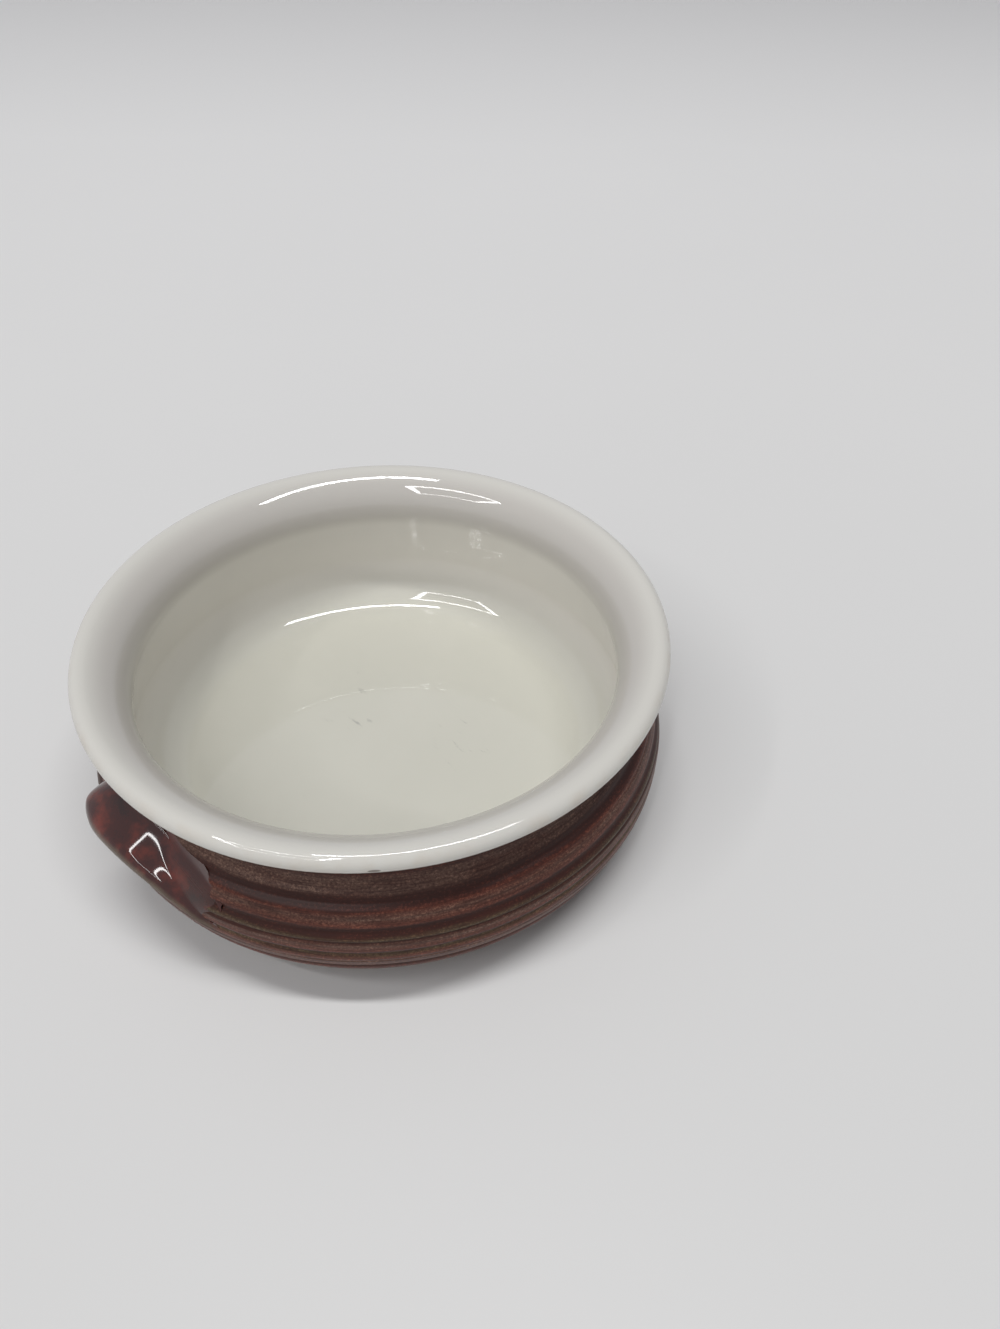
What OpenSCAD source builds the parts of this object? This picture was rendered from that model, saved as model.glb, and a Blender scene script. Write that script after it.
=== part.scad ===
// Lug soup bowl: a turned stoneware bowl with a flared lip, a drawn-in waist and a ribbed belly.
// Two pressed lugs are luted to its sides with slip. White glaze lines it and covers the lip,
// and red-brown glaze coats the outside and the lugs. The foot ring is bare clay.
// Millimetres, +Z up, origin on the table under the bowl's axis, lugs on the X axis.

/* [Bowl] */
// Outside diameter over the lip
rim_d = 140; // [132:1:170]
// Height from the table to the top of the lip
bowl_h = 52; // [43:1:64]
// Outside diameter of the belly, over its glaze
belly_d = 142; // [136:1:172]
// Outside diameter of the waist under the lip
waist_d = 125.6; // [104:0.2:130]
// Radius of the waist's hollow curve
waist_r = 5; // [3:0.1:7]
// Depth of the waist's middle below the top of the lip
waist_drop = 13.8; // [12:0.1:18]
// From the waist's ring outside to the neck's ring inside, with the glaze on both faces
wall = 4.5; // [4:0.1:6]
// Thickness of the wall at the belly's widest ring, with the glaze on both faces
belly_wall = 8; // [6:0.1:9]
// Thickness of the floor, with the liner glaze
floor_t = 5; // [4:0.1:7]

/* [Lip] */
// Radius of the lip's outer roll
lip_outer_r = 2.5; // [1.6:0.1:3.4]
// Radius of the lip's inner roll
lip_inner_r = 4.6; // [3.4:0.1:6]
// Radius of the slope from the lip's inner roll to the neck
lip_slope_r = 16; // [14:0.5:30]
// How far below the lip's top the neck's curve would end if it ran on upward
lip_fall = 0.7; // [0.4:0.1:3]

/* [Foot ring] */
// Outside diameter of the foot ring
foot_d = 98; // [70:1:104]
// Width of the foot ring
foot_w = 6; // [4:0.1:10]
// Height of the foot ring
foot_h = 2.8; // [2:0.1:4]
// Bevel on the foot ring's two lower edges
foot_bevel = 0.8; // [0.2:0.1:1.5]

/* [Ribs] */
// Number of grooves between the ribs
groove_count = 6; // [2:1:6]
// Depth of a groove
groove_depth = 0.6; // [0.2:0.1:1]
// Angle of the top groove above the belly's widest ring
groove_first = 41; // [30:0.5:44]
// Angle from one groove to the next
groove_pitch = 19.5; // [14:0.5:20]

/* [Glaze] */
// Thickness of each glaze coat
glaze_t = 0.5; // [0.3:0.1:0.8]
// Height at which the outer glaze stops above the table
glaze_stop = 4; // [3:0.1:8]

/* [Lugs] */
// Width of a lug from end to end
lug_w = 46; // [34:1:56]
// How far a lug stands out past the belly
lug_reach = 4.2; // [3.4:0.1:9]
// Height of a lug's upper edge above the belly's widest ring
lug_rise = 11; // [8:0.1:13.4]
// Radius of a lug's rolled outer edge
lug_edge_r = 2.6; // [1.6:0.1:3.2]
// Radius of the scoop that slopes from the wall down to the rolled edge
lug_scoop_r = 24; // [14:1:40]
// Radius of a lug's corners, seen from above
lug_corner_r = 8; // [6:0.1:12]
// Radius of a lug's shoulders, seen from the side, as a share of half its width
lug_shoulder = 0.78; // [0.5:0.01:0.9]
// Slope of a lug's underside, from upright
lug_under_a = 26; // [24:1:40]
// Thickness of the slip between a lug and the ribs
slip_t = 0.4; // [0.2:0.1:0.8]

/* [Hidden] */
$fn = 96;

// Points on the round stretches of an outline
arc_steps = 12;
belly_steps = 58;
corner_steps = 6;

// Middles of the lip's two rolls and of the waist's curve, as radius and height
lip_outer_c = [rim_d / 2 - lip_outer_r, bowl_h - lip_outer_r];
lip_inner_c = [lip_outer_c.x, bowl_h - lip_inner_r];
waist_c = [waist_d / 2 + waist_r, bowl_h - waist_drop];

// The belly is one round curve that runs into the waist above and into the base below
base_z = foot_h;
waist_over_base = waist_c.y - base_z + glaze_t;
waist_past_belly = waist_c.x - belly_d / 2;
belly_half = waist_over_base - waist_past_belly + waist_r;
belly_rest = pow(waist_over_base, 2) + pow(waist_past_belly, 2) - pow(waist_r, 2);
belly_r = belly_half - sqrt(pow(belly_half, 2) - belly_rest);
belly_c = [belly_d / 2 - belly_r, base_z - glaze_t + belly_r];
waist_a = atan2(waist_c.y - belly_c.y, waist_c.x - belly_c.x);
clay_r = belly_r - glaze_t;
glaze_stop_a = -asin((belly_c.y - glaze_stop) / belly_r);

// The clay's curve ends at the base, or at the side of a foot ring wider than the base
foot_out = foot_d / 2;
foot_in = foot_out - foot_w;
foot_past_base = max(0, foot_out - belly_c.x);
foot_a = -acos(foot_past_base / clay_r);
foot_top = belly_c.y + clay_r * sin(foot_a);

// Inside, a cove runs from the flat floor into a straight wall, which leans in to the neck
floor_z = base_z + floor_t;
inside_r = belly_d / 2 - belly_wall;
cove_r = belly_c.y - floor_z;
cove_c = [inside_r - cove_r, belly_c.y];
neck_r = waist_r + wall;
neck_c = [waist_c.x, bowl_h - neck_r - lip_fall];
wall_a = facing(neck_c - cove_c, cove_r + neck_r, -1);

// The slope above the neck is a curve that touches the neck's curve and the lip's inner roll
slope_step = neck_c - lip_inner_c;
slope_gap = norm(slope_step);
slope_up = lip_slope_r - lip_inner_r;
slope_down = lip_slope_r - neck_r;
slope_turn = corner_a(slope_up, slope_gap, slope_down);
slope_c = lip_inner_c + slope_up * toward(atan2(slope_step.y, slope_step.x) + slope_turn);
slope_top_a = atan2(lip_inner_c.y - slope_c.y, lip_inner_c.x - slope_c.x);
slope_low_a = atan2(neck_c.y - slope_c.y, neck_c.x - slope_c.x);

// Direction in which the straight flank under the lip faces
lip_under_a = facing(lip_outer_c - waist_c, -lip_outer_r - waist_r, -1);

// A lug's rolled edge, and the scoop that touches it and the belly's curve
lug_top = belly_c.y + lug_rise;
lug_out_r = belly_d / 2 + lug_reach;
lug_edge_c = [lug_out_r - lug_edge_r, lug_top - lug_edge_r];
scoop_step = lug_edge_c - belly_c;
scoop_in = belly_r + lug_scoop_r;
scoop_out = lug_edge_r + lug_scoop_r;
scoop_a = atan2(scoop_step.y, scoop_step.x) + corner_a(scoop_in, norm(scoop_step), scoop_out);
scoop_c = belly_c + scoop_in * toward(scoop_a);
scoop_end_a = atan2(lug_edge_c.y - scoop_c.y, lug_edge_c.x - scoop_c.x) + 360;
lug_crest = belly_c.y + belly_r * sin(scoop_a);
lug_shoulder_r = lug_shoulder * lug_w / 2;
lug_root_r = belly_c.x;
lug_turn = asin((lug_w / 2 - lug_corner_r) / (lug_out_r - lug_corner_r));
lug_corner_c = (lug_out_r - lug_corner_r) * [cos(lug_turn), sin(lug_turn)];

function toward(a) = [cos(a), sin(a)];

// Corner of a triangle between its sides a and b, across from its side c
function corner_a(a, b, c) = acos((pow(a, 2) + pow(b, 2) - pow(c, 2)) / (2 * a * b));

// Direction that a straight flank faces where it touches two curves, from the step between their middles
function facing(step, gap, side) = atan2(step.y, step.x) + side * acos(gap / norm(step));

// Points on an arc, leaving out the first ones that the stretch before it has already drawn
function arc(middle, r, from, to, steps = arc_steps, first = 0) =
    [for (i = [first:steps]) middle + r * toward(from + (to - from) * i / steps)];

// Depth of the grooves at an angle round the belly's curve
function groove(a) =
    let (turns = (groove_first - a) / groove_pitch)
    turns < -0.5 || turns > groove_count - 0.5 ? 0 : groove_depth * pow((1 + cos(360 * turns)) / 2, 3);

// Inside of the bowl from the axis to the end of the lip's outer roll, set d into the wall
function inside_path(d) = concat(
    [[0, floor_z - d]],
    arc(cove_c, cove_r + d, -90, wall_a),
    arc(neck_c, neck_r - d, wall_a + 180, slope_low_a),
    arc(slope_c, lip_slope_r - d, slope_low_a, slope_top_a, arc_steps, 1),
    arc(lip_inner_c, lip_inner_r - d, slope_top_a, 90, arc_steps, 1),
    arc(lip_outer_c, lip_outer_r - d, 90, lip_under_a, arc_steps, 1));

// Outside of the bowl from under the lip down to an angle on the belly, set d into the wall
function outside_path(d, stop, ribbed = true) = concat(
    arc(waist_c, waist_r + d, lip_under_a + 180, waist_a + 180),
    [for (i = [1:belly_steps])
        let (a = waist_a + (stop - waist_a) * i / belly_steps)
        belly_c + (belly_r - d - (ribbed ? groove(a) : 0)) * toward(a)]);

function reversed(path) = [for (i = [len(path) - 1:-1:0]) path[i]];

// The wall's outer form as a full solid of revolution, set d into the wall
module wall_core(d, ribbed) {
    lip_end = lip_outer_c + (lip_outer_r - d) * toward(lip_under_a);
    rotate_extrude()
        polygon(concat([[0, lip_end.y], lip_end], outside_path(d, -90, ribbed), [[0, belly_c.y - belly_r + d]]));
}

// A lug's cross-section, with its faces set in by d, whose underside ends where it meets the wall's clay
function lug_section(d) =
    let (under_gap = (lug_edge_c - belly_c) * toward(-lug_under_a) + lug_edge_r - d)
    let (under_turn = acos(min(1, under_gap / clay_r)))
    let (under_root = belly_c + max(under_gap, clay_r) * toward(under_turn - lug_under_a))
    let (scoop_top = scoop_c - (lug_scoop_r + d) * toward(scoop_a))
    concat(
        [[lug_root_r, scoop_top.y]],
        arc(scoop_c, lug_scoop_r + d, scoop_a + 180, scoop_end_a),
        arc(lug_edge_c, lug_edge_r - d, scoop_end_a - 180, -lug_under_a, arc_steps, 1),
        [under_root, [lug_root_r, under_root.y]]);

// A lug's outline from above, with its ends and corners set in by d
module lug_outline(d) {
    corner = arc(lug_corner_c, lug_corner_r - d, 90, lug_turn, corner_steps);
    past_edge = 2 * lug_out_r * toward(lug_turn);
    half = concat([[0, lug_w / 2 - d]], corner, [past_edge]);
    mirrored = [for (p = reversed(half)) [p.x, -p.y]];
    polygon(concat(half, mirrored));
}

// A lug's outline from the side, with its shoulders set in by d
module lug_front(d) {
    shoulder_c = [lug_w / 2 - lug_shoulder_r, lug_crest - lug_shoulder_r];
    half = concat([[lug_w / 2 - d, 0]], arc(shoulder_c, lug_shoulder_r - d, 0, 90));
    mirrored = [for (p = reversed(half)) [-p.x, p.y]];
    polygon(concat(half, mirrored));
}

// A lug's whole form on the +X side, with its faces set in by d
module lug_form(d) {
    intersection() {
        rotate_extrude() polygon(lug_section(d));
        linear_extrude(bowl_h) lug_outline(d);
        rotate([90, 0, 90]) linear_extrude(2 * lug_out_r) lug_front(d);
    }
}

// The left lug is the right one turned half round the bowl
module on_left() {
    rotate([0, 0, 180]) children();
}

module stoneware_body() {
    foot = [[foot_out, foot_top], [foot_out, foot_bevel], [foot_out - foot_bevel, 0],
            [foot_in + foot_bevel, 0], [foot_in, foot_bevel], [foot_in, base_z]];
    color("tan")
    rotate_extrude()
    polygon(concat(inside_path(glaze_t), outside_path(glaze_t, foot_a), foot, [[0, base_z]]));
}

module white_liner_glaze() {
    color("whitesmoke")
    rotate_extrude()
    polygon(concat(inside_path(0), reversed(inside_path(glaze_t))));
}

module brown_wall_glaze() {
    lip_end = [for (d = [0, glaze_t]) lip_outer_c + (lip_outer_r - d) * toward(lip_under_a)];
    outer = concat([lip_end[0]], outside_path(0, glaze_stop_a));
    inner = concat([lip_end[1]], outside_path(glaze_t, glaze_stop_a));
    color("rosybrown")
    difference() {
        rotate_extrude() polygon(concat(outer, reversed(inner)));
        lug_form(0);
        on_left() lug_form(0);
    }
}

module lug_clay() {
    color("tan")
    difference() {
        lug_form(glaze_t);
        wall_core(glaze_t - slip_t, false);
    }
}

module lug_slip() {
    color("burlywood")
    difference() {
        intersection() {
            lug_form(glaze_t);
            wall_core(glaze_t - slip_t, false);
        }
        wall_core(glaze_t, true);
    }
}

module lug_glaze() {
    color("darkred")
    difference() {
        lug_form(0);
        lug_form(glaze_t);
        wall_core(glaze_t, true);
    }
}

module left_lug() { on_left() lug_clay(); }
module left_lug_slip() { on_left() lug_slip(); }
module left_lug_glaze() { on_left() lug_glaze(); }
module right_lug() { lug_clay(); }
module right_lug_slip() { lug_slip(); }
module right_lug_glaze() { lug_glaze(); }

stoneware_body();
white_liner_glaze();
brown_wall_glaze();
left_lug();
left_lug_slip();
left_lug_glaze();
right_lug();
right_lug_slip();
right_lug_glaze();
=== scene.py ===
from math import acos, asin, atan2, cos, exp, hypot, pi, radians, sin, sqrt

import bmesh
import bpy
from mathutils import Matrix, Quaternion, Vector


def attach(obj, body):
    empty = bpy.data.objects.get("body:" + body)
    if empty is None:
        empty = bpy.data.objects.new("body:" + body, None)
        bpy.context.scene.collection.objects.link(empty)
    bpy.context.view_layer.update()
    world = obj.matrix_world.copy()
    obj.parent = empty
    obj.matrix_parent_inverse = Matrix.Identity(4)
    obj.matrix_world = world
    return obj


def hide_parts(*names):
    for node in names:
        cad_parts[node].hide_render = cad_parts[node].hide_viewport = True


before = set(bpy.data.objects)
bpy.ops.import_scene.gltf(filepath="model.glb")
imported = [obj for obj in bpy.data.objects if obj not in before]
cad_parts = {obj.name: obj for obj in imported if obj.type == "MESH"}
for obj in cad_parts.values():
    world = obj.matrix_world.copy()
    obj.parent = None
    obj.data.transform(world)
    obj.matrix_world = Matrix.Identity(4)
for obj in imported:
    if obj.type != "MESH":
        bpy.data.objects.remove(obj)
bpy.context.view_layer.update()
mm = 0.001


# Sizes of the turned bowl, the same as the construction's
bowl = dict(
    rimR=70 * mm, height=52 * mm, bellyR=71 * mm,
    waistR=62.8 * mm, waistCurve=5 * mm, waistDrop=13.8 * mm,
    wall=4.5 * mm, bellyWall=8 * mm, floor=5 * mm,
    lipOuter=2.5 * mm, lipInner=4.6 * mm, lipSlope=16 * mm, lipFall=0.7 * mm,
    footOut=49 * mm, footWide=6 * mm, footHigh=2.8 * mm, footEdge=0.8 * mm,
    coat=0.5 * mm, coatStop=4 * mm,
    steps=176,  # steps of a full spin
)

# Grooves between the ribs: angle round the belly's curve, half width in degrees, depth
grooves = [
    (42, 3.4, 0.6 * mm), (34, 0.8, 0.12 * mm), (21.5, 3.4, 0.6 * mm), (13, 1.2, 0.3 * mm),
    (1.5, 2.2, 0.5 * mm), (-2.2, 2.5, 0.08 * mm), (-6, 0.8, 0.12 * mm), (-17.5, 3.2, 0.6 * mm),
    (-27, 1.1, 0.25 * mm), (-37, 3.2, 0.6 * mm), (-56, 3, 0.5 * mm),
]


def toward(angle):
    return Vector((cos(angle), sin(angle)))


def facing(step, gap, side):  # way that a straight flank between two curves faces
    return atan2(step.y, step.x) + side * acos(gap / step.length)


def corner(a, b, c):  # corner of a triangle between its sides a and b, across from c
    return acos((a * a + b * b - c * c) / (2 * a * b))


def bearing(start, stop):
    return atan2(stop.y - start.y, stop.x - start.x)


def arc(middle, radius, start, stop, steps=12):
    return [middle + radius * toward(start + (stop - start) * i / steps) for i in range(steps + 1)]


# Middles of the profile's curves, as radius and height
lipOuterC = Vector((bowl["rimR"] - bowl["lipOuter"], bowl["height"] - bowl["lipOuter"]))
lipInnerC = Vector((lipOuterC.x, bowl["height"] - bowl["lipInner"]))
waistC = Vector((bowl["waistR"] + bowl["waistCurve"], bowl["height"] - bowl["waistDrop"]))
overBase = waistC.y - bowl["footHigh"] + bowl["coat"]
pastBelly = waistC.x - bowl["bellyR"]
bellyHalf = overBase - pastBelly + bowl["waistCurve"]
bellyCurve = bellyHalf - sqrt(bellyHalf ** 2 - overBase ** 2 - pastBelly ** 2 + bowl["waistCurve"] ** 2)
bellyC = Vector((bowl["bellyR"] - bellyCurve, bowl["footHigh"] - bowl["coat"] + bellyCurve))
waistA = atan2(waistC.y - bellyC.y, waistC.x - bellyC.x)
coatStopA = -asin((bellyC.y - bowl["coatStop"]) / bellyCurve)
floorZ = bowl["footHigh"] + bowl["floor"]
insideR = bowl["bellyR"] - bowl["bellyWall"]
coveR = bellyC.y - floorZ
coveC = Vector((insideR - coveR, bellyC.y))
neckR = bowl["waistCurve"] + bowl["wall"]
neckC = Vector((waistC.x, bowl["height"] - neckR - bowl["lipFall"]))
wallA = facing(neckC - coveC, coveR + neckR, -1)
slopeUp = bowl["lipSlope"] - bowl["lipInner"]
slopeTurn = corner(slopeUp, (neckC - lipInnerC).length, bowl["lipSlope"] - neckR)
slopeC = lipInnerC + slopeUp * toward(bearing(lipInnerC, neckC) + slopeTurn)
slopeTopA, slopeLowA = bearing(slopeC, lipInnerC), bearing(slopeC, neckC)
lipUnderA = facing(lipOuterC - waistC, -bowl["lipOuter"] - bowl["waistCurve"], -1)


def grooveDepth(angle):
    return sum(depth * exp(-((angle - radians(at)) / radians(width)) ** 2) for at, width, depth in grooves)


def insidePath(inset):
    return [
        *[Vector((share * coveC.x, floorZ - inset)) for share in (0, 0.3, 0.7)],
        *arc(coveC, coveR + inset, -pi / 2, wallA, 28),
        *arc(neckC, neckR - inset, wallA + pi, slopeLowA, 18),
        *arc(slopeC, bowl["lipSlope"] - inset, slopeLowA, slopeTopA, 14)[1:],
        *arc(lipInnerC, bowl["lipInner"] - inset, slopeTopA, pi / 2, 12)[1:],
        *arc(lipOuterC, bowl["lipOuter"] - inset, pi / 2, lipUnderA, 16)[1:],
    ]


def outsidePath(inset, stop, steps=60):
    angles = [waistA + (stop - waistA) * i / steps for i in range(1, steps + 1)]
    return [
        *arc(waistC, bowl["waistCurve"] + inset, lipUnderA + pi, waistA + pi, 14),
        *[bellyC + (bellyCurve - inset - grooveDepth(a)) * toward(a) for a in angles],
    ]


def finishMesh(bm, name, sharp=50):
    bmesh.ops.remove_doubles(bm, verts=bm.verts, dist=0.0002 * mm)
    bmesh.ops.recalc_face_normals(bm, faces=bm.faces)
    mesh = bpy.data.meshes.new(name)
    bm.to_mesh(mesh)
    bm.free()
    for face in mesh.polygons:
        face.use_smooth = True
    mesh.set_sharp_from_angle(angle=radians(sharp))
    piece = bpy.data.objects.new(name, mesh)
    bpy.context.scene.collection.objects.link(piece)
    return piece


def drawPath(bm, path, closed):
    verts = [bm.verts.new((p.x, 0, p.y)) for p in path]
    edges = [bm.edges.new(pair) for pair in zip(verts, verts[1:])]
    if closed:
        edges.append(bm.edges.new((verts[-1], verts[0])))
    return verts + edges


def turned(name, path, closed=False):  # a full spin of a profile round the bowl's axis
    bm = bmesh.new()
    bmesh.ops.spin(bm, geom=drawPath(bm, path, closed), cent=(0, 0, 0), axis=(0, 0, 1), angle=2 * pi,
                   steps=bowl["steps"], use_merge=True)
    return finishMesh(bm, name)


def place(piece, slot, finish, *nodes):
    piece.data.materials.append(finish)
    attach(piece, "root")
    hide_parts(*nodes)


# Shader maths: a wrapped socket, on which an expression adds its Math nodes
class Value:
    def __init__(self, socket):
        self.socket = socket

    def math(self, operation, *others):
        node = self.socket.id_data.nodes.new("ShaderNodeMath")
        node.operation = operation
        for port, value in zip(node.inputs, (self, *others)):
            join(port, value)
        return Value(node.outputs[0])

    def __add__(self, other):
        return self.math("ADD", other)

    __radd__ = __add__

    def __sub__(self, other):
        return self.math("SUBTRACT", other)

    def __rsub__(self, other):
        return (self * -1) + other

    def __mul__(self, other):
        return self.math("MULTIPLY", other)

    __rmul__ = __mul__

    def __truediv__(self, other):
        return self.math("DIVIDE", other)

    def __pow__(self, other):
        return self.math("POWER", other)

    def __gt__(self, other):
        return self.math("GREATER_THAN", other)


def join(port, value):
    if isinstance(value, Value):
        port.id_data.links.new(value.socket, port)
    else:
        port.default_value = value


class Finish:
    def __init__(self, name, owner=None, main="Principled BSDF", **shader):
        self.material = owner or bpy.data.materials.new(name)
        self.material.use_nodes = True
        self.nodes = self.material.node_tree.nodes
        self.shader = self.nodes[main]
        self.set(**shader)
        self.place = self.add("TexCoord", out="Object")

    def set(self, **shader):  # names of the shader's sockets, with _ for a space
        for name, value in shader.items():
            join(self.shader.inputs[name.replace("_", " ")], value)

    def add(self, kind, settings=None, out=0, **ports):  # ports by name with _ for a space, or p and a number
        node = self.nodes.new("ShaderNode" + kind)
        for name, value in (settings or {}).items():
            if name == "stops":
                setStops(node.color_ramp, value)
            else:
                setattr(node, name, value)
        for name, value in ports.items():
            join(node.inputs[int(name[1:]) if name[1:].isdigit() else name.replace("_", " ")], value)
        return Value(node.outputs[out])

    def mix(self, share, a, b, blend="MIX"):
        return self.add("Mix", {"data_type": "RGBA", "blend_type": blend}, 2, p0=share, p6=a, p7=b)

    def noise(self, scale, detail=2, stretch=(1, 1, 1), rough=0.5):
        where = self.add("Mapping", Vector=self.place, Scale=stretch)
        return self.add("TexNoise", Vector=where, Scale=scale, Detail=detail, Roughness=rough)

    def ramp(self, value, low, high, smooth=True):  # 0 at low, 1 at high
        return self.add("MapRange", {"interpolation_type": "SMOOTHSTEP" if smooth else "LINEAR"},
                        Value=value, From_Min=low, From_Max=high)

    def split(self):
        return [self.add("SeparateXYZ", out=i, Vector=self.place) for i in range(3)]

    def bump(self, height, strength, distance):
        self.set(Normal=self.add("Bump", Height=height, Strength=strength, Distance=distance))


def setStops(ramp, stops):
    while len(ramp.elements) < len(stops):
        ramp.elements.new(1)
    for element, (at, colour) in zip(ramp.elements, stops):
        element.position = at
        element.color = colour


def colour(red, green, blue):  # a colour as it is seen, from 0 to 255, turned into light
    seen = [part / 255 for part in (red, green, blue)]
    return (*[c / 12.92 if c < 0.04045 else ((c + 0.055) / 1.055) ** 2.4 for c in seen], 1)


# White glaze: off-white and glossy, warm where it thins over the lip, with a few iron specks and spoon marks.
# Its inner wall is painted paler than the lip as painted light, and the slope inside the lip is painted
# greyer as painted shade
whiteGlaze = dict(
    lip=colour(217, 215, 208), slope=colour(200, 196, 190), wall=colour(238, 235, 229),
    floor=colour(208, 207, 196), thin=colour(208, 198, 184), rough=0.018,
    slopeIn=61.5 * mm, slopeOut=66.5 * mm,  # painted shade: the slope inside the lip is painted greyer where it turns steeply from the light
    speck=colour(96, 82, 70), speckScale=95, speckShare=0.045,
    mark=colour(150, 150, 147), markIn=22 * mm, markOut=34 * mm,  # spoon marks fade out between these
    nickWay=(0.735, -0.678), nickHigh=49.2 * mm, nickWide=1.3 * mm, nickTall=0.45 * mm, nickIn=68.8 * mm,
)


def makeWhiteGlaze():
    white = whiteGlaze
    glaze = Finish("whiteGlaze", Roughness=white["rough"], IOR=1.52)
    x, y, z = glaze.split()
    radius = (x * x + y * y) ** 0.5
    inside = 1 - glaze.ramp(z, floorZ, floorZ + 14 * mm)
    # painted light: below 40 mm the wall is painted paler than the lip, to make up for the shade inside the
    # bowl
    tone = glaze.mix(glaze.ramp(z, 40 * mm, 48 * mm), white["wall"], white["lip"])
    tone = glaze.mix(inside * (0.85 + glaze.noise(38, 3) * 0.25), tone, white["floor"])
    # painted shade: the steep slope inside the lip is painted greyer
    slope = (1 - glaze.ramp(radius, white["slopeIn"], white["slopeOut"])) * glaze.ramp(z, 37 * mm, 43 * mm)
    tone = glaze.mix(slope * 0.85, tone, white["slope"])
    lipOut = glaze.ramp(radius, lipOuterC.x + 0.6 * mm, bowl["rimR"]) * glaze.ramp(z, 44 * mm, 48 * mm)
    tone = glaze.mix(lipOut * glaze.ramp(glaze.noise(160, 3), 0.4, 0.75) * 0.55, tone, white["thin"])
    spots = glaze.add("TexVoronoi", Vector=glaze.place, Scale=white["speckScale"], Randomness=1)
    cell = Value(spots.socket.node.outputs["Color"])
    chosen = glaze.add("SeparateColor", Color=cell) > 1 - white["speckShare"]
    dot = 1 - glaze.ramp(spots, 0.018, 0.05)
    tone = glaze.mix(chosen * dot * 0.8, tone, white["speck"])
    scuff = glaze.ramp(glaze.noise(420, 4, (1, 0.22, 1), 0.7), 0.6, 0.72)
    middle = (1 - glaze.ramp(radius, white["markIn"], white["markOut"])) * inside
    spot = glaze.ramp(glaze.noise(70, 1), 0.6, 0.7) * middle
    tone = glaze.mix(scuff * spot * 0.6, tone, white["mark"])
    along = (x * white["nickWay"][0] + y * white["nickWay"][1]) / white["nickWide"]
    up = (z - white["nickHigh"]) / white["nickTall"]
    nick = (1 - glaze.ramp(along * along + up * up, 0.5, 1.3)) * (radius > white["nickIn"]) * (y * -1 > 0)
    tone = glaze.mix(nick * 0.8, tone, white["speck"])
    glaze.set(Base_Color=tone)
    glaze.bump(glaze.noise(26, 1), 0.16, 0.2 * mm)
    return glaze.material


# Red-brown glaze on the ribs: colour by height, pale and speckled on the ridges, dark in the grooves, with
# painted shade in the bands under the lip
brownGlaze = dict(
    dark=colour(52, 25, 19), maroon=colour(72, 35, 27), red=colour(104, 58, 46),
    mauve=colour(102, 77, 67), olive=colour(88, 74, 56), rough=0.4, sheen=0.22,
    speck=(1.9, 2, 1.9, 1),  # brightens what is under it
    streak=(34, 34, 620), patch=(90, 90, 420), fine=(80, 80, 2300), grain=1700,
)
brownBands = [  # height in mm and colour, from the foot to the lip; the bands darkening from 38 mm to the lip are painted shade under the lip
    (4, "maroon"), (6.5, "dark"), (8.6, "red"), (10.4, "dark"), (12.2, "mauve"), (13.6, "red"),
    (14.9, "dark"), (16.2, "red"), (18, "mauve"), (19.6, "red"), (20.6, "olive"), (21.4, "dark"),
    (22.4, "red"), (23.6, "mauve"), (24.5, "dark"), (25.3, "olive"), (26.2, "dark"), (27.8, "dark"),
    (28.6, "red"), (30, "mauve"), (31.1, "red"), (31.6, "maroon"), (32.2, "dark"), (33.4, "dark"),
    # painted shade: maroon darkening to dark up to the lip, where the lip shades the wall
    (34.2, "mauve"), (36.2, "mauve"), (38, "maroon"), (48, "dark"),
]


def makeBrownGlaze():
    brown = brownGlaze
    glaze = Finish("brownGlaze", Roughness=brown["rough"], Specular_IOR_Level=brown["sheen"])
    z = glaze.split()[2]
    low, high = brownBands[0][0] * mm, brownBands[-1][0] * mm
    streak = glaze.noise(1, 4, brown["streak"], 0.6)
    height = (z - low) / (high - low) + (streak - 0.5) * 0.03
    stops = [((at * mm - low) / (high - low), brown[name]) for at, name in brownBands]
    bands = glaze.add("ValToRGB", {"stops": stops}, Fac=height)
    patch = glaze.noise(1, 5, brown["patch"], 0.65)
    tone = glaze.mix(glaze.ramp(patch, 0.42, 0.7) * 0.5, bands, brown["maroon"])
    fine = glaze.noise(1, 3, brown["fine"], 0.65)
    tone = glaze.mix((1 - glaze.ramp(fine, 0.36, 0.52)) * 0.5, tone, brown["dark"])
    grain = glaze.noise(brown["grain"], 2, (1, 1, 1.4), 0.75)
    ridge = glaze.ramp(grain, 0.52, 0.64) * glaze.ramp(fine, 0.36, 0.56)
    tone = glaze.mix(ridge, tone, brown["speck"], "MULTIPLY")
    tone = glaze.mix((1 - glaze.ramp(grain, 0.36, 0.48)) * 0.5, tone, brown["dark"])
    glaze.set(Base_Color=tone)
    glaze.bump(grain * 0.12 + streak * 0.5 + glaze.noise(60, 1), 0.4, 0.12 * mm)
    return glaze.material


# Deep red glaze on the lugs, olive where it thins over the edge and the ends; the larger olive patch at the
# left end is partly a painted sheen
redGlaze = dict(
    deep=colour(62, 21, 15), bright=colour(112, 42, 28), pool=colour(36, 16, 12), thin=colour(98, 84, 68),
    rough=0.05, cloud=150, ragged=300,
)


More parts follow.
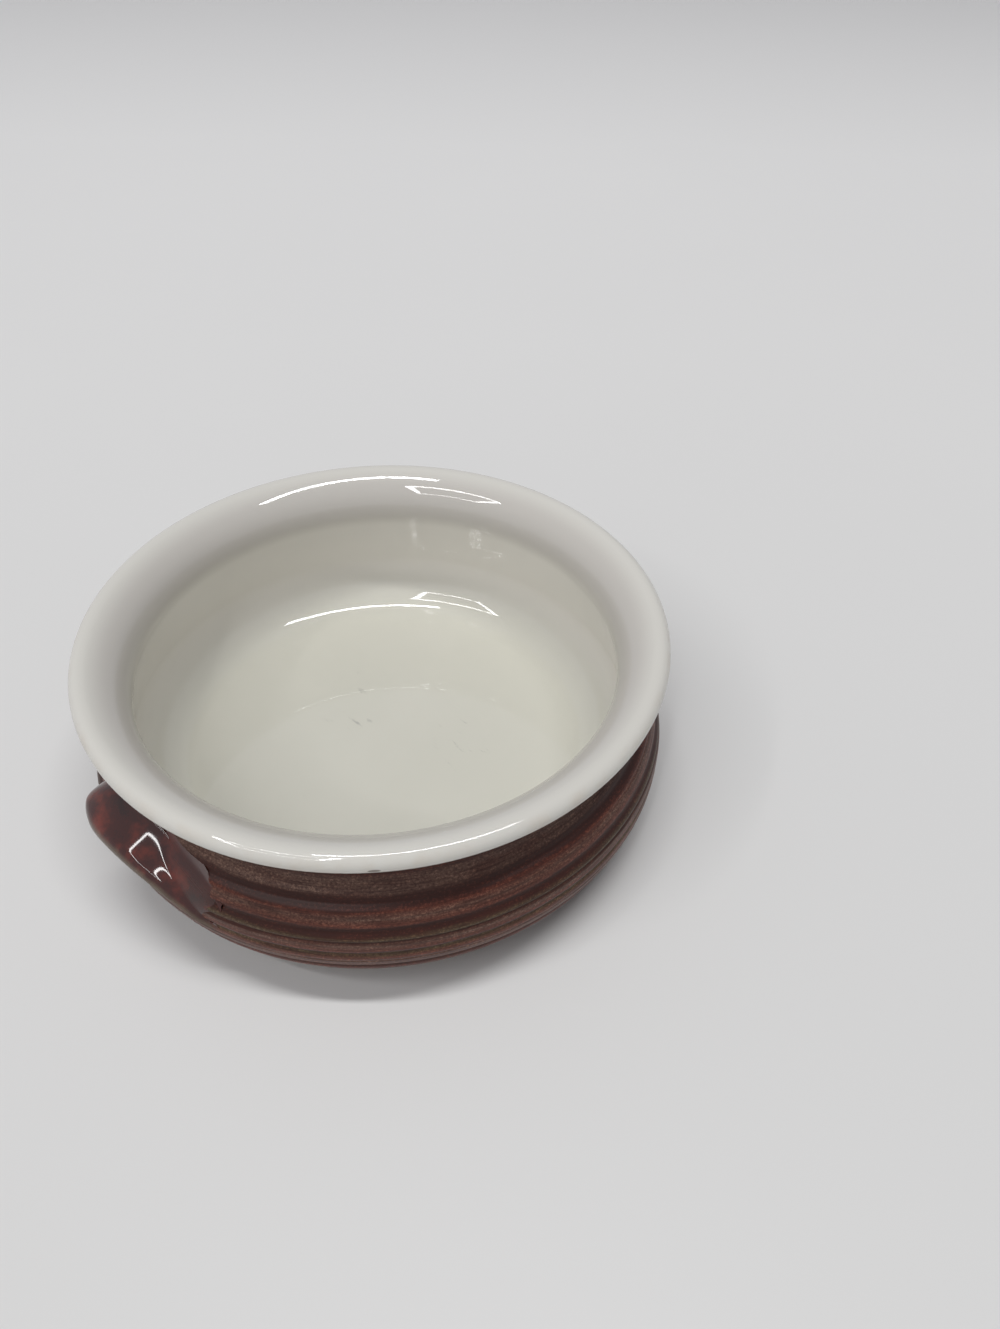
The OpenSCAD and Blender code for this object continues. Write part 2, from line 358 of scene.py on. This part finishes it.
def makeRedGlaze():
    red = redGlaze
    glaze = Finish("redGlaze", IOR=1.54)
    cloud = glaze.noise(red["cloud"], 4, (1, 1, 1), 0.6)
    tone = glaze.mix(glaze.ramp(cloud, 0.45, 0.72), red["deep"], red["bright"])
    tone = glaze.mix((1 - glaze.ramp(cloud, 0.3, 0.42)) * 0.7, tone, red["pool"])
    # the thin-edge attribute: olive of thin glaze at the edge, and at the left end partly a painted sheen
    thin = glaze.add("Attribute", {"attribute_name": "thinEdge"}, out="Fac")
    ragged = thin + (glaze.noise(red["ragged"], 3) - 0.5) * 0.5
    bare = glaze.ramp(ragged, 0.6, 1.1)
    seam = glaze.add("Attribute", {"attribute_name": "seam"}, out="Fac")
    tone = glaze.mix(seam * 0.5, glaze.mix(bare, tone, red["thin"]), brownGlaze["maroon"])
    glaze.set(Base_Color=tone, Roughness=bare * 0.3 + seam * 0.35 + red["rough"])
    glaze.bump(glaze.noise(90, 1), 0.2, 0.1 * mm)
    return glaze.material


# Bare stoneware: buff, matt and grogged, and the slip that joins the lugs
bareClay = dict(
    main=colour(198, 174, 146), warm=colour(181, 148, 116), grog=colour(120, 94, 72), rough=0.82,
    grogScale=1500, turningPitch=1.1 * mm,
)


def makeClay(name, shade):
    clay = bareClay
    body = Finish(name, Roughness=clay["rough"])
    x, y = body.split()[:2]
    radius = (x * x + y * y) ** 0.5
    tone = body.mix(body.ramp(body.noise(55, 4), 0.35, 0.7), clay["main"], clay["warm"])
    grog = body.noise(clay["grogScale"], 2, rough=0.7)
    tone = body.mix(body.ramp(grog, 0.62, 0.72) * 0.6, tone, clay["grog"])
    tone = body.mix(shade, tone, clay["warm"])
    body.set(Base_Color=tone)
    turning = (radius * (2 * pi / clay["turningPitch"])).math("SINE")
    body.bump(grog * 0.6 + turning * 0.25, 0.5, 0.12 * mm)
    return body.material


finishes = {
    "white": makeWhiteGlaze(), "brown": makeBrownGlaze(), "red": makeRedGlaze(),
    "clay": makeClay("bareClay", 0), "slip": makeClay("joiningSlip", 0.6),
}
print("finishes made")


# The turned body with its foot ring, and its two glaze coats
def makeBowl():
    coat = bowl["coat"]
    footIn = bowl["footOut"] - bowl["footWide"]
    edge = bowl["footEdge"]
    foot = [
        Vector((bowl["footOut"], bowl["footHigh"])),
        *arc(Vector((bowl["footOut"] - edge, edge)), edge, 0, -pi / 2, 6),
        *arc(Vector((footIn + edge, edge)), edge, -pi / 2, -pi, 6),
        *[Vector((share * footIn, bowl["footHigh"])) for share in (1, 0.5, 0)],
    ]
    body = turned("turnedBody", insidePath(coat) + outsidePath(coat, -pi / 2) + foot)
    place(body, "clay", finishes["clay"], "stoneware_body")
    liner = turned("whiteLiner", insidePath(0) + insidePath(coat)[::-1])
    place(liner, "white_glaze", finishes["white"], "white_liner_glaze")
    lipEnd = [lipOuterC + (bowl["lipOuter"] - d) * toward(lipUnderA) for d in (0, coat)]
    outer = [lipEnd[0], *outsidePath(0, coatStopA, 180)]
    inner = [lipEnd[1], *outsidePath(coat, coatStopA)]
    wall = turned("ribbedWall", outer + inner[::-1], closed=True)
    place(wall, "brown_glaze", finishes["brown"], "brown_wall_glaze")


makeBowl()
print("bowl turned")


# A lug: a broad scoop that slopes from the wall to a rolled edge and dies away into the wall at both ends
lug = dict(
    width=46 * mm, reach=4.2 * mm, rise=11 * mm, edgeR=2 * mm, scoopR=24 * mm, under=radians(26),
    cornerR=8 * mm, leftShoulder=12 * mm, rightShoulder=18 * mm, lift=1.5 * mm, slip=0.4 * mm,
    taper=0.1, taperFrom=14 * mm,  # the edge draws in toward one end
    pressOver=9.5 * mm, pressLeast=0.35,  # the pressing is least at the wall
    joinOver=1 * mm, hugOver=0.9 * mm, blend=0.8 * mm, soft=4 * mm,  # how softly it leaves the wall and ends
    film=0.2 * mm, filmEnd=19.8 * mm, filmPower=24, sink=1.2 * mm,  # glaze that runs a little over the wall
    clayInset=2 * mm, slipInset=2.5 * mm, tuck=1.5 * mm, drop=2 * mm,  # clay and slip stay behind the glaze
    bareFrom=0.7, bareAndSheenLeft=0.8, bareRight=0.15,  # where and how far the ends show olive: thin glaze, and at the left end partly a painted sheen
    steps=120,
)
lugTop = dict(  # the scoop as it was pressed by hand: higher at one end, falling away toward the other
    out=69.4 * mm, along=-4.2 * mm, high=31.6 * mm, outSlope=-0.504, alongSlope=0.424,
    outR=24.5 * mm, alongR=40 * mm, twist=-23,
)
edgeC = Vector((bowl["bellyR"] + lug["reach"] - lug["edgeR"], bellyC.y + lug["rise"] - lug["edgeR"]))
scoopIn = bellyCurve + lug["scoopR"]
scoopA = bearing(bellyC, edgeC) + corner(scoopIn, (edgeC - bellyC).length, lug["edgeR"] + lug["scoopR"])
scoopC = bellyC + scoopIn * toward(scoopA)
scoopEndA = bearing(scoopC, edgeC) + 2 * pi
lugHalf = lug["width"] / 2
lugCrest = bellyC.y + bellyCurve * sin(scoopA)
lugCornerR = bowl["bellyR"] + lug["reach"] - lug["cornerR"]
lugCorner = Vector((sqrt(lugCornerR ** 2 - (lugHalf - lug["cornerR"]) ** 2), lugHalf - lug["cornerR"]))


def wallR(z):
    if z > waistC.y + (bellyC.y - waistC.y) * bowl["waistCurve"] / (bowl["waistCurve"] + bellyCurve):
        return waistC.x - sqrt(bowl["waistCurve"] ** 2 - (z - waistC.y) ** 2)
    return bellyC.x + sqrt(bellyCurve ** 2 - (z - bellyC.y) ** 2)


def lugPath(inset):  # a lug's outer face from the wall, over its edge and back under to the wall
    scoop = arc(scoopC, lug["scoopR"] + inset, scoopA + pi, scoopEndA, 26)
    rolled = arc(edgeC, lug["edgeR"] - inset, scoopEndA - pi, -lug["under"], 20)
    slope = Vector((-sin(lug["under"]), -cos(lug["under"])))
    under = [rolled[-1]]
    while under[-1].x > wallR(under[-1].y) - inset:
        under.append(under[-1] + slope * 0.5 * mm)
    return scoop + rolled[1:] + under[1:]


def seatPath(top, bottom, depth, steps=24):  # down the wall's face, set in by depth
    levels = [top + (bottom - top) * i / steps for i in range(steps + 1)]
    return [Vector((wallR(z) - depth, z)) for z in levels]


def softMin(a, b, soft):
    return (a + b - sqrt((a - b) ** 2 + soft ** 2)) / 2


def softMax(a, b, soft):
    return (a + b + sqrt((a - b) ** 2 + soft ** 2)) / 2


def pressedHeight(out, along):
    out, along = out - lugTop["out"], along - lugTop["along"]
    bend = out ** 2 / lugTop["outR"] + 2 * lugTop["twist"] * out * along - along ** 2 / lugTop["alongR"]
    return lugTop["high"] + lugTop["outSlope"] * out + lugTop["alongSlope"] * along + bend / 2


def scoopHeight(radius):
    return scoopC.y - sqrt(lug["scoopR"] ** 2 - (radius - scoopC.x) ** 2)


def lugLimits(along, inset):  # how high and how far out a lug reaches at a place along its length
    shoulder = lug["leftShoulder"] if along > 0 else lug["rightShoulder"]
    past = min(max(0, abs(along) - lugHalf + inset + shoulder), shoulder)
    high = lugCrest + lug["lift"] - inset - shoulder + sqrt(shoulder ** 2 - past ** 2)
    corner = lug["cornerR"] - inset
    past = min(max(0, abs(along) - lugCorner.y), corner)
    out = bowl["bellyR"] + lug["reach"] - inset
    if abs(along) > lugCorner.y * out / lugCornerR:
        out = hypot(lugCorner.x + sqrt(corner ** 2 - past ** 2), along)
    return high, out


def sweepLug(path, inset):
    bm = bmesh.new()
    loop = drawPath(bm, path, True)
    half = asin((lugHalf - inset) / bowl["bellyR"])
    bmesh.ops.rotate(bm, verts=bm.verts, cent=(0, 0, 0), matrix=Quaternion((0, 0, 1), pi - half).to_matrix())
    bmesh.ops.spin(bm, geom=loop, cent=(0, 0, 0), axis=(0, 0, 1), angle=2 * half, steps=lug["steps"])
    bmesh.ops.holes_fill(bm, edges=[e for e in bm.edges if e.is_boundary])
    thinEdge, seam = [bm.verts.layers.float.new(layer) for layer in ("thinEdge", "seam")]
    for v in bm.verts:
        radius = hypot(v.co.x, v.co.y)
        turn = atan2(v.co.y, -v.co.x)
        along = radius * sin(turn)
        proud = radius - wallR(v.co.z)
        share = min(1, abs(along) / lugHalf)
        high, out = lugLimits(along, inset)
        above = min(1, max(0, (v.co.z - bellyC.y) / lug["pressOver"]))
        # the olive at the left end is partly painted sheen
        bare = lug["bareAndSheenLeft"] if along > 0 else lug["bareRight"]
        end = above * bare * max(0, share - lug["bareFrom"]) / (1 - lug["bareFrom"])
        v[thinEdge] = max(0, (radius - edgeC.x) / lug["edgeR"], end) if proud > 0 else 0
        reached = min(1, max(0, proud / lug["joinOver"]))
        v[seam] = 1 - reached
        outward = min(1, max(0, proud / lug["hugOver"])) ** 2
        drawn = lug["taper"] * max(0, lug["taperFrom"] - along) * outward
        pressed = pressedHeight((radius - drawn) * cos(turn), along) - scoopHeight(radius)
        eased = reached * reached * (3 - 2 * reached)
        z = v.co.z + above * pressed * (lug["pressLeast"] + (1 - lug["pressLeast"]) * eased)
        z = softMin(z, high, lug["soft"] * share ** 3)
        radius += (wallR(z) - wallR(v.co.z)) * (1 - outward) - drawn
        radius = softMin(radius, out, lug["soft"] * share ** 4)
        seat = wallR(z) + min(0, proud) - (lug["tuck"] * share if inset else 0)
        sunk = min(1, abs(along) / lug["filmEnd"]) ** lug["filmPower"]
        film = -lug["drop"] if inset else lug["film"] - (lug["sink"] + lug["film"]) * sunk
        blend = 0 if inset else min(lug["blend"], max(0, proud))
        radius = softMax(radius, wallR(z) + min(film, proud), blend) if proud > 0 else seat
        v.co = Vector((-radius * cos(turn), radius * sin(turn), z))
    return bm


def makeLug(side, half):
    coat, seat = bowl["coat"], bowl["coat"] - lug["slip"]
    outer, inner = lugPath(0), lugPath(coat)
    clayFace = [p for p in inner if p.x - wallR(p.y) > -seat]
    top, bottom = clayFace[0].y, clayFace[-1].y
    clay = clayFace + seatPath(bottom, top, seat)[1:-1]
    slip = seatPath(top, bottom, seat) + seatPath(bottom, top, coat)
    forms = {
        "red": ("LugGlaze", outer + inner[::-1], 0, "red_glaze", "_lug_glaze"),
        "clay": ("Lug", clay, lug["clayInset"], "clay", "_lug"),
        "slip": ("LugSlip", slip, lug["slipInset"], "slip", "_lug_slip"),
    }
    for finish, (name, path, inset, slot, node) in forms.items():
        bm = sweepLug(path, inset)
        bmesh.ops.rotate(bm, verts=bm.verts, cent=(0, 0, 0), matrix=Quaternion((0, 0, 1), half).to_matrix())
        place(finishMesh(bm, side + name), slot, finishes[finish], side + node)


makeLug("left", 0)
makeLug("right", pi)
print("lugs made")


# Camera: where the photograph was taken from
camera = dict(
    eye=(-109.3 * mm, -136.3 * mm, 198.9 * mm), aim=(25.7 * mm, -16.9 * mm, 30 * mm),
    roll=radians(1.32), lens=25.73,
)


def makeCamera():
    lens = bpy.data.cameras.new("camera")
    lens.lens = camera["lens"]
    lens.clip_start = 0.01
    holder = bpy.data.objects.new("camera", lens)
    holder.location = camera["eye"]
    sight = Vector(camera["aim"]) - Vector(camera["eye"])
    holder.rotation_mode = "QUATERNION"
    holder.rotation_quaternion = sight.to_track_quat("-Z", "Y") @ Quaternion((0, 0, 1), camera["roll"])
    bpy.context.scene.collection.objects.link(holder)
    bpy.context.scene.camera = holder
    bpy.context.scene.view_settings.view_transform = "Standard"


makeCamera()
print("camera placed")


# Stage: a pale floor painted paler away from the camera as painted light, soft light all round, and lamps
# overhead that show as thin glints in the glaze
stage = dict(
    floor=colour(222, 222, 221), paintedLightFarFloor=colour(247, 247, 246), floorSize=12,
    ahead=(0.749, 0.6626), farFrom=-0.2, farTo=0.6,  # painted light: the floor is painted paler over these metres, to make up for the lamps' fall-off on the far floor
    sky=colour(237, 236, 241), skyStrength=0.2, brightSide=(-1, 0.05, 0), sideShare=0.75,
    backdrop=0.78,  # how pale the sky looks behind the bowl and in its gloss
)
lamps = dict(  # metres to the right of the bowl, beyond it as the camera faces, and up; sizes the same ways
    strip=dict(at=(0.26, -0.16, 2.4), size=(1.6, 0.16), glow=34),
    squareFrame=dict(at=(-1.2, -1.47, 2.4), size=(1.34, 1.34), bar=0.1, turn=radians(-17), glow=20),
)


def makeStage():
    bm = bmesh.new()
    bmesh.ops.create_grid(bm, x_segments=8, y_segments=8, size=stage["floorSize"] / 2)
    floor = finishMesh(bm, "floor")
    tabletop = Finish("paleFloor", Roughness=0.5)
    x, y = tabletop.split()[:2]
    ahead = x * stage["ahead"][0] + y * stage["ahead"][1]
    cloudy = (tabletop.noise(5, 3) - 0.5) * 0.1
    # painted light: paler toward the far floor
    far = tabletop.ramp(ahead + cloudy, stage["farFrom"], stage["farTo"], False)
    tabletop.set(Base_Color=tabletop.mix(far, stage["floor"], stage["paintedLightFarFloor"]))
    floor.data.materials.append(tabletop.material)
    world = bpy.data.worlds.new("softSky")
    bpy.context.scene.world = world
    world.use_nodes = True
    sky = Finish("softSky", world, "Background", Color=stage["sky"])
    side = sky.add("VectorMath", {"operation": "DOT_PRODUCT"}, "Value", p0=sky.place, p1=stage["brightSide"])
    seen = sum(sky.add("LightPath", out=f"Is {kind} Ray") for kind in ("Camera", "Glossy", "Transmission"))
    light = (side * stage["sideShare"] + 1) * stage["skyStrength"]
    sky.set(Strength=light * (1 - seen) + seen * stage["backdrop"])


def addLamp(name, lamp, aside=(0, 0), size=None):
    sight = Vector(camera["aim"]) - Vector(camera["eye"])
    heading = Quaternion((0, 0, 1), atan2(sight.y, sight.x) - pi / 2)
    turn = Quaternion((0, 0, 1), lamp.get("turn", 0))
    light = bpy.data.lights.new(name, "AREA")
    light.shape = "RECTANGLE"
    light.size, light.size_y = size or lamp["size"]
    light.energy = lamp["glow"] * pi * light.size * light.size_y
    holder = bpy.data.objects.new(name, light)
    holder.location = heading @ (Vector(lamp["at"]) + turn @ Vector((*aside, 0)))
    holder.rotation_mode = "QUATERNION"
    holder.rotation_quaternion = heading @ turn
    bpy.context.scene.collection.objects.link(holder)


def addFrame(name, lamp):  # a lamp of four bars round an open middle
    wide, deep = lamp["size"]
    bar = lamp["bar"]
    for side in (-1, 1):
        addLamp(f"{name}Across{side}", lamp, (0, side * deep / 2), (wide, bar))
        addLamp(f"{name}Along{side}", lamp, (side * wide / 2, 0), (bar, deep))


makeStage()
addLamp("strip", lamps["strip"])
addFrame("squareFrame", lamps["squareFrame"])
print("stage lit")
